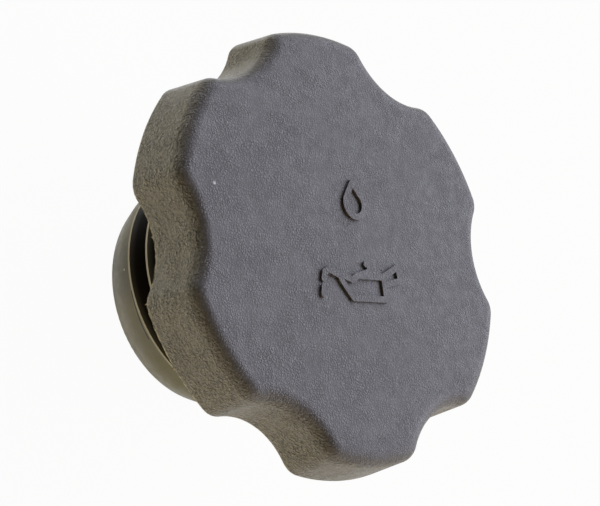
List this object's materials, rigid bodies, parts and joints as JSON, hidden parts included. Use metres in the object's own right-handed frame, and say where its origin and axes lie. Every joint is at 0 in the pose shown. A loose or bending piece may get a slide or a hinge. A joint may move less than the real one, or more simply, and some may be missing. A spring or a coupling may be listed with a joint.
{
  "type": "oil filler cap",
  "caption": "Screw-in oil filler cap: a lobed, grained plastic hand grip with an oil can sign, over a short hollow neck with a coarse outside thread and a flat rubber seal.",
  "frame": {"origin": "centre of the neck's rear end, where the cap stands with its face up", "axes": "+Z along the cap's axis, out of the grip's face; +Y towards the top of the marks on the face; +X to their right"},
  "size_m": [0.07, 0.0728, 0.0369],
  "materials": {
    "cap_plastic": "dark grey moulded plastic, leather grain on the grip, smooth on the neck",
    "seal_rubber": "matt black rubber"
  },
  "bodies": {
    "root": {"cap_body": "cap_plastic", "seal_ring": "seal_rubber"}
  },
  "joints": []
}
